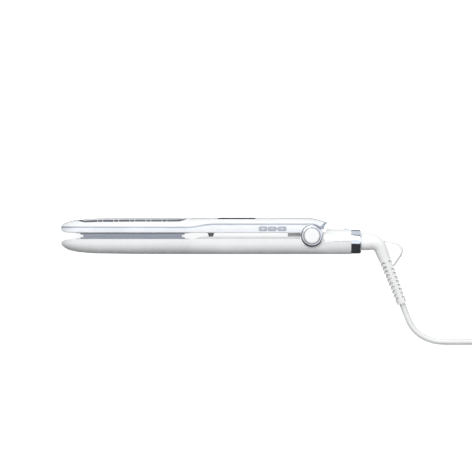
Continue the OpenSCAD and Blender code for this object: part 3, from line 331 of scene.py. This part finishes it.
def markMesh(name, outlines, s, body):
    mesh = bmesh.new()
    bottom, top = s["top"] - s["sunk"], s["top"] + s["thickness"] - s["sunk"]
    for outline in outlines:
        low = [mesh.verts.new(Vector((x, y, bottom)) * mm) for x, y in outline]
        high = [mesh.verts.new(Vector((x, y, top)) * mm) for x, y in outline]
        mesh.faces.new(high)
        mesh.faces.new(low[::-1])
        count = len(outline)
        for i in range(count):
            mesh.faces.new((low[i], low[(i + 1) % count], high[(i + 1) % count], high[i]))
    piece = addMesh(name, mesh)
    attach(piece, body)
    return piece


def barOutline(place, length, s, turn):
    a = math.radians(turn)
    p, q = s["barCorner"]
    along = Vector((math.cos(a), math.sin(a)))
    aside = Vector((-math.sin(a), math.cos(a)))
    return [tuple(Vector(place) + along * u * length / 2 + aside * v * s["line"] / 2)
            for u, v in ((-1, -q), (-p, -1), (p, -1), (1, -q), (1, q), (p, 1), (-p, 1), (-1, q))]


def arcOutline(place, s):
    first, last = s["powerArc"]
    angles = [math.radians(mixValue(first, last, k / s["arcSteps"])) for k in range(s["arcSteps"] + 1)]
    outer, inner = s["powerRadius"] + s["line"] / 2, s["powerRadius"] - s["line"] / 2
    spokes = [(outer, a) for a in angles] + [(inner, a) for a in reversed(angles)]
    return [(place[0] + reach * math.cos(a), place[1] + reach * math.sin(a)) for reach, a in spokes]


def makeMarks(s):
    x, y = s["powerPlace"]
    arc = arcOutline((x, y - s["powerDrop"]), s)
    stem = barOutline((x, y + s["stemRise"]), s["stemLength"], s, 90)
    power = markMesh("power_mark", [arc, stem], s, "power_button")
    minus = markMesh("minus_mark", [barOutline(s["minusPlace"], s["barLength"], s, 0)],
                     s, "temperature_rocker")
    x, y = s["plusPlace"]
    gap = s["line"] / 2 + s["stubGap"]
    cross = [barOutline((x, y), s["barLength"], s, 0), barOutline((x, y + gap), s["stubLength"], s, 90),
             barOutline((x, y - gap), s["stubLength"], s, 90)]
    plus = markMesh("plus_mark", cross, s, "temperature_rocker")
    return [power, minus, plus]


marks = makeMarks(markSettings)
print("marks made:", len(marks))

def makeGroup(name, inputs, outputs):
    group = bpy.data.node_groups.new(name, "ShaderNodeTree")
    for label, kind, value in inputs:
        socket = group.interface.new_socket(label, in_out="INPUT", socket_type=kind)
        socket.default_value = value
    for label, kind in outputs:
        group.interface.new_socket(label, in_out="OUTPUT", socket_type=kind)
    start = group.nodes.new("NodeGroupInput")
    end = group.nodes.new("NodeGroupOutput")
    return group, start, end


# Links another node's output, or writes a plain number
def feed(tree, socket, value):
    if isinstance(value, bpy.types.NodeSocket):
        tree.links.new(value, socket)
    else:
        socket.default_value = value


def mathNode(tree, operation, first, second):
    node = tree.nodes.new("ShaderNodeMath")
    node.operation = operation
    feed(tree, node.inputs[0], first)
    feed(tree, node.inputs[1], second)
    return node.outputs[0]


def noiseNode(tree, vector, scale, detail, roughness=0.5):
    node = tree.nodes.new("ShaderNodeTexNoise")
    tree.links.new(vector, node.inputs["Vector"])
    feed(tree, node.inputs["Scale"], scale)
    node.inputs["Detail"].default_value = detail
    node.inputs["Roughness"].default_value = roughness
    return node.outputs["Fac"]


def rangeNode(tree, value, low, high, outLow=0.0, outHigh=1.0):
    node = tree.nodes.new("ShaderNodeMapRange")
    tree.links.new(value, node.inputs["Value"])
    for label, number in (("From Min", low), ("From Max", high), ("To Min", outLow), ("To Max", outHigh)):
        feed(tree, node.inputs[label], number)
    return node.outputs[0]


skinSettings = {
    "grainSize": 2500,
    "grainDetail": 2,
    "smudgeSize": 40,
    "smudgeDetail": 4,
    "smudgeRoughness": 0.6,
    "smudgeFrom": 0.38,    # noise values at which a smudge begins and is full
    "smudgeTo": 0.66,
}


# Fine moulded or cast skin with broad faint smudges
def makeSkinGroup(s):
    group, start, end = makeGroup(
        "fineSkin",
        [("Grain Size", "NodeSocketFloat", s["grainSize"]),
         ("Smudge Size", "NodeSocketFloat", s["smudgeSize"])],
        [("Height", "NodeSocketFloat"), ("Smudge", "NodeSocketFloat")])
    place = group.nodes.new("ShaderNodeTexCoord").outputs["Object"]
    grain = noiseNode(group, place, start.outputs["Grain Size"], s["grainDetail"])
    smudge = noiseNode(group, place, start.outputs["Smudge Size"], s["smudgeDetail"], s["smudgeRoughness"])
    group.links.new(grain, end.inputs["Height"])
    group.links.new(rangeNode(group, smudge, s["smudgeFrom"], s["smudgeTo"]), end.inputs["Smudge"])
    return group


linesSettings = {
    "stretch": (60, 2500, 2500),   # how fine the noise is along X, Y and Z
    "detail": 3,
    "roughness": 0.6,
    "patchSize": 55,
    "wornFrom": 0.5,       # noise values at which a worn patch begins and is full
    "wornTo": 0.8,
}


# Long thin lines left by drawing, brushing or turning
def makeLinesGroup(s):
    group, start, end = makeGroup(
        "drawnLines",
        [("Stretch", "NodeSocketVector", s["stretch"]), ("Worn", "NodeSocketFloat", s["wornFrom"])],
        [("Height", "NodeSocketFloat"), ("Mask", "NodeSocketFloat")])
    place = group.nodes.new("ShaderNodeTexCoord").outputs["Object"]
    scaled = group.nodes.new("ShaderNodeVectorMath")
    scaled.operation = "MULTIPLY"
    group.links.new(place, scaled.inputs[0])
    group.links.new(start.outputs["Stretch"], scaled.inputs[1])
    lines = noiseNode(group, scaled.outputs[0], 1, s["detail"], s["roughness"])
    patches = noiseNode(group, place, s["patchSize"], s["detail"])
    worn = rangeNode(group, patches, start.outputs["Worn"], s["wornTo"])
    group.links.new(lines, end.inputs["Height"])
    group.links.new(mathNode(group, "MULTIPLY", lines, worn), end.inputs["Mask"])
    return group


# Where the painted shade on a ring's bevels begins and where it is full
seamSettings = {
    "lean": 0.85,   # how upright the normal is where the dark begins, and where it is full
    "full": 0.5,
}


# Painted shade: darker on the faces that lean away from the flat top and underside, which outlines a ring
# the way its dark reflections would
def makePaintedShadeGroup(s):
    group, start, end = makeGroup(
        "seamShade", [("Lean", "NodeSocketFloat", s["lean"])], [("Mask", "NodeSocketFloat")])
    facing = group.nodes.new("ShaderNodeTexCoord").outputs["Normal"]
    split = group.nodes.new("ShaderNodeSeparateXYZ")
    group.links.new(facing, split.inputs[0])
    upright = mathNode(group, "ABSOLUTE", split.outputs["Z"], 0)
    group.links.new(rangeNode(group, upright, start.outputs["Lean"], s["full"]), end.inputs["Mask"])
    return group


skinGroup = makeSkinGroup(skinSettings)
linesGroup = makeLinesGroup(linesSettings)
seamGroup = makePaintedShadeGroup(seamSettings)

coatRoughness = 0.08

# Colours are linear; grain and lineDepth are bump heights in mm; grainSize and lines set how fine it is
finishes = {
    "housing": {"colour": (0.87, 0.885, 0.895), "shade": (0.84, 0.855, 0.87), "rough": 0.22,
                "roughWorn": 0.3, "coat": 0.35, "grainSize": 1800, "grain": 0.006},
    "band": {"colour": (0.79, 0.815, 0.85), "shade": (0.74, 0.765, 0.8), "rough": 0.42, "roughWorn": 0.5,
             "coat": 0.04, "grainSize": 2200, "grain": 0.01},
    "trim": {"colour": (0.33, 0.37, 0.44), "shade": (0.29, 0.33, 0.39), "rough": 0.26, "roughWorn": 0.34,
             "coat": 0.3, "grainSize": 2200, "grain": 0.006},
    "button": {"colour": (0.44, 0.48, 0.55), "shade": (0.38, 0.42, 0.49), "rough": 0.38, "roughWorn": 0.3,
               "coat": 0.1, "grainSize": 3000, "grain": 0.012},
    "holder": {"colour": (0.16, 0.17, 0.2), "shade": (0.12, 0.13, 0.15), "rough": 0.5, "roughWorn": 0.6,
               "grainSize": 2600, "grain": 0.02},
    "plate": {"colour": (0.34, 0.365, 0.43), "shade": (0.27, 0.29, 0.35), "rough": 0.3, "roughWorn": 0.42,
              "metallic": 0.75, "lines": (70, 2400, 2400), "lineDepth": 0.008},
    "heater": {"colour": (0.72, 0.72, 0.73), "shade": (0.6, 0.6, 0.61), "rough": 0.35, "roughWorn": 0.5,
               "metallic": 1, "lines": (90, 2600, 2600), "lineDepth": 0.01},
    "sensor": {"colour": (0.6, 0.22, 0.05), "shade": (0.5, 0.17, 0.04), "rough": 0.15, "roughWorn": 0.25,
               "coat": 0.6, "grainSize": 3000, "grain": 0.004},
    "steel": {"colour": (0.56, 0.56, 0.58), "shade": (0.46, 0.46, 0.48), "rough": 0.28, "roughWorn": 0.42,
              "metallic": 1, "lines": (2600, 2600, 120), "lineDepth": 0.006},
    "dark_plastic": {"colour": (0.4, 0.4, 0.42), "shade": (0.35, 0.35, 0.37), "rough": 0.42,
                     "roughWorn": 0.52, "grainSize": 2600, "grain": 0.016},
    "chrome": {"colour": (0.81, 0.86, 0.92), "shade": (0.76, 0.81, 0.87), "rough": 0.05, "roughWorn": 0.12,
               "metallic": 1, "grainSize": 900, "grain": 0.0008},
    # The ring is chrome with painted shade: its bevels get the dark colour below, standing for dark
    # reflections there
    "ring": {"colour": (0.78, 0.8, 0.86), "shade": (0.72, 0.74, 0.8), "rough": 0.12, "roughWorn": 0.22,
             "metallic": 1, "grainSize": 900, "grain": 0.0008, "seam": (0.1, 0.105, 0.115)},
    "bearing_plastic": {"colour": (0.66, 0.67, 0.68), "shade": (0.6, 0.61, 0.62), "rough": 0.4,
                        "roughWorn": 0.5, "grainSize": 2200, "grain": 0.008},
    "brass": {"colour": (0.72, 0.53, 0.22), "shade": (0.6, 0.42, 0.17), "rough": 0.25, "roughWorn": 0.4,
              "metallic": 1, "lines": (2600, 120, 2600), "lineDepth": 0.005},
    "bronze": {"colour": (0.5, 0.32, 0.17), "shade": (0.4, 0.25, 0.13), "rough": 0.4, "roughWorn": 0.5,
               "metallic": 1, "grainSize": 2800, "grain": 0.014},
    "grille": {"colour": (0.11, 0.125, 0.145), "shade": (0.085, 0.095, 0.115), "rough": 0.45,
               "roughWorn": 0.55, "grainSize": 2600, "grain": 0.02},
    "window": {"colour": (0.03, 0.033, 0.038), "shade": (0.036, 0.039, 0.045), "rough": 0.06,
               "roughWorn": 0.14, "coat": 0.6, "grainSize": 900, "grain": 0.0008},
    "board": {"colour": (0.02, 0.13, 0.05), "shade": (0.03, 0.18, 0.07), "rough": 0.35, "roughWorn": 0.45,
              "coat": 0.3, "grainSize": 1400, "grain": 0.012},
    "fuse": {"colour": (0.62, 0.5, 0.34), "shade": (0.52, 0.42, 0.28), "rough": 0.7, "roughWorn": 0.8,
             "grainSize": 2400, "grain": 0.03},
    "peg_rubber": {"colour": (0.5, 0.5, 0.51), "shade": (0.44, 0.44, 0.45), "rough": 0.6,
                   "roughWorn": 0.7, "grainSize": 2400, "grain": 0.02},
    # inner_cover: the band plastic painted darker, as painted shade for the recess between the arms
    "inner_cover": {"colour": (0.6, 0.605, 0.61), "shade": (0.55, 0.555, 0.56), "rough": 0.42,
                    "roughWorn": 0.5, "grainSize": 2200, "grain": 0.01},
    "boot_rubber": {"colour": (0.94, 0.945, 0.95), "shade": (0.91, 0.915, 0.92), "rough": 0.42,
                    "roughWorn": 0.52, "grainSize": 1500, "grain": 0.016},
    "cord_sheath": {"colour": (0.89, 0.895, 0.9), "shade": (0.84, 0.845, 0.85), "rough": 0.4,
                    "roughWorn": 0.5, "grainSize": 1600, "grain": 0.012},
    "plug_plastic": {"colour": (0.84, 0.85, 0.86), "shade": (0.78, 0.79, 0.8), "rough": 0.36,
                     "roughWorn": 0.46, "grainSize": 1800, "grain": 0.014},
    "pin_metal": {"colour": (0.74, 0.73, 0.7), "shade": (0.64, 0.63, 0.6), "rough": 0.18, "roughWorn": 0.34,
                  "metallic": 1, "lines": (2600, 90, 2600), "lineDepth": 0.004},
}


def makeFinish(name, s):
    material = bpy.data.materials.new(name)
    material.use_nodes = True
    tree = material.node_tree
    shader = tree.nodes["Principled BSDF"]
    shader.inputs["Metallic"].default_value = s.get("metallic", 0)
    shader.inputs["Coat Weight"].default_value = s.get("coat", 0)
    shader.inputs["Coat Roughness"].default_value = coatRoughness
    effect = tree.nodes.new("ShaderNodeGroup")
    if "lines" in s:
        effect.node_tree = linesGroup
        effect.inputs["Stretch"].default_value = s["lines"]
        mask, depth = effect.outputs["Mask"], s["lineDepth"]
    else:
        effect.node_tree = skinGroup
        effect.inputs["Grain Size"].default_value = s["grainSize"]
        mask, depth = effect.outputs["Smudge"], s["grain"]
    tint = tree.nodes.new("ShaderNodeMix")
    tint.data_type = "RGBA"
    tint.inputs["A"].default_value = (*s["colour"], 1)
    tint.inputs["B"].default_value = (*s["shade"], 1)
    tree.links.new(mask, tint.inputs["Factor"])
    colour = tint.outputs["Result"]
    # Painted shade: a dark colour laid on the faces that lean away from flat, standing for dark reflections
    if "seam" in s:
        seam = tree.nodes.new("ShaderNodeGroup")
        seam.node_tree = seamGroup
        dark = tree.nodes.new("ShaderNodeMix")
        dark.data_type = "RGBA"
        dark.inputs["B"].default_value = (*s["seam"], 1)
        tree.links.new(colour, dark.inputs["A"])
        tree.links.new(seam.outputs["Mask"], dark.inputs["Factor"])
        colour = dark.outputs["Result"]
    tree.links.new(colour, shader.inputs["Base Color"])
    tree.links.new(rangeNode(tree, mask, 0, 1, s["rough"], s["roughWorn"]), shader.inputs["Roughness"])
    bump = tree.nodes.new("ShaderNodeBump")
    bump.inputs["Distance"].default_value = depth * mm
    tree.links.new(effect.outputs["Height"], bump.inputs["Height"])
    tree.links.new(bump.outputs["Normal"], shader.inputs["Normal"])
    return material


materials = {name: makeFinish(name, s) for name, s in finishes.items()}


def paint(piece, finish):
    piece.data.materials.clear()
    piece.data.materials.append(materials[finish])


for part in frame["record"]["subparts"]:
    paint(nodes[part["node"]], part["material_slot"])
paint(lead, "cord_sheath")
# Painted shade: the lower inner cover gets a darker finish than its band slot, for the shade in the recess
# between the arms
paint(nodes["lower_inner_cover"], "inner_cover")
# The pivot rings get the ring finish, whose bevels carry painted shade
paint(nodes["pivot_rings"], "ring")
paint(tie, "peg_rubber")
for mark in marks:
    paint(mark, "housing")
print("materials made:", len(materials))

# Floor, lamps, world and the cards that the reflections see, in metres
stageSettings = {
    "floorSize": 12,
    "floorColour": (0.5, 0.505, 0.51),
    "floorGlow": 0.9,
    "floorRough": 0.9,
    "floorShine": 0.1,
    "cardColour": (0.93, 0.95, 1),
    "worldLight": 0.24,
    "worldSheen": 0.72,
    "lamps": [
        # name, place, aimed at, size, watts, whether reflections show it
        ("keyLamp", (-0.25, 0.75, 1.1), (-0.07, 0, 0), 0.88, 13, True),
        ("sideLamp", (0.9, 0.35, 0.8), (-0.05, 0, 0), 0.7, 2.2, True),
        ("topLamp", (-0.1, -0.1, 1.6), (-0.07, 0, 0), 1.2, 6.6, False),
    ],
    # name, left and right end in x, first and last edge as (y, z), glow
    "cards": [
        ("frontCard", (-1.4, 1.4), (-0.34, 0.001), (-0.32, 0.85), 0.045),
        ("frontFloorCard", (-1.4, 1.4), (-0.34, 0.0006), (-0.0178, 0.0006), 0.045),
        ("backEdgeCard", (-1.4, 1.4), (0.0178, 0.0006), (0.034, 0.0006), 0.07),
        ("backFloorCard", (-1.4, 1.4), (0.034, 0.0006), (0.52, 0.0006), 0.8),
        ("backCard", (-1.4, 1.4), (0.52, 0.001), (0.52, 0.26), 0.8),
        ("lineCard", (-1.4, 1.4), (0.5, 0.222), (0.5, 0.362), 0.17),
        ("collarCard", (0.04, 0.3), (0.3, 0.9), (-0.33, 0.9), 1.08),
    ],
}


# Glows to the rays that see it and gives no light to the rest
def glowWhenSeen(tree, socket, strength):
    path = tree.nodes.new("ShaderNodeLightPath")
    seen = mathNode(tree, "MAXIMUM", path.outputs["Is Camera Ray"], path.outputs["Is Glossy Ray"])
    seen = mathNode(tree, "MAXIMUM", seen, path.outputs["Is Transmission Ray"])
    tree.links.new(mathNode(tree, "MULTIPLY", seen, strength), socket)


def makeFloor(s):
    size = s["floorSize"] / 2
    mesh = bpy.data.meshes.new("floor")
    corners = [(-size, -size, 0), (size, -size, 0), (size, size, 0), (-size, size, 0)]
    mesh.from_pydata(corners, [], [(0, 1, 2, 3)])
    floor = addObject("floor", mesh)
    material = bpy.data.materials.new("floorPaint")
    material.use_nodes = True
    tree = material.node_tree
    shader = tree.nodes["Principled BSDF"]
    shader.inputs["Base Color"].default_value = (*s["floorColour"], 1)
    shader.inputs["Roughness"].default_value = s["floorRough"]
    shader.inputs["Specular IOR Level"].default_value = s["floorShine"]
    shader.inputs["Emission Color"].default_value = (1, 1, 1, 1)
    glowWhenSeen(tree, shader.inputs["Emission Strength"], s["floorGlow"])
    mesh.materials.append(material)


def makeCards(s):
    for name, (left, right), first, last, glow in s["cards"]:
        mesh = bpy.data.meshes.new(name)
        corners = [(left, *first), (right, *first), (right, *last), (left, *last)]
        mesh.from_pydata(corners, [], [(0, 1, 2, 3)])
        card = addObject(name, mesh)
        card.visible_camera = card.visible_diffuse = card.visible_shadow = False
        card.visible_transmission = card.visible_volume_scatter = False
        material = bpy.data.materials.new(name)
        material.use_nodes = True
        shader = material.node_tree.nodes["Principled BSDF"]
        shader.inputs["Base Color"].default_value = (0, 0, 0, 1)
        shader.inputs["Specular IOR Level"].default_value = 0
        shader.inputs["Emission Color"].default_value = (*s["cardColour"], 1)
        shader.inputs["Emission Strength"].default_value = glow
        mesh.materials.append(material)


def makeLamps(s):
    for name, place, aim, size, watts, reflected in s["lamps"]:
        data = bpy.data.lights.new(name, "AREA")
        data.shape = "SQUARE"
        data.size = size
        data.energy = watts
        lamp = addObject(name, data)
        lamp.visible_glossy = reflected
        lamp.location = place
        lamp.rotation_euler = (Vector(aim) - Vector(place)).to_track_quat("-Z", "Y").to_euler()


def makeWorld(s):
    world = bpy.data.worlds.new("world")
    world.use_nodes = True
    bpy.context.scene.world = world
    tree = world.node_tree
    background = tree.nodes["Background"]
    background.inputs["Color"].default_value = (1, 1, 1, 1)
    path = tree.nodes.new("ShaderNodeLightPath")
    sheen = rangeNode(tree, path.outputs["Is Glossy Ray"], 0, 1, s["worldLight"], s["worldSheen"])
    seen = mathNode(tree, "MAXIMUM", path.outputs["Is Camera Ray"], path.outputs["Is Transmission Ray"])
    tree.links.new(mathNode(tree, "MAXIMUM", sheen, seen), background.inputs["Strength"])


makeFloor(stageSettings)
makeCards(stageSettings)
makeLamps(stageSettings)
makeWorld(stageSettings)
bpy.context.scene.view_settings.view_transform = "Standard"
print("stage made")

bpy.context.view_layer.update()
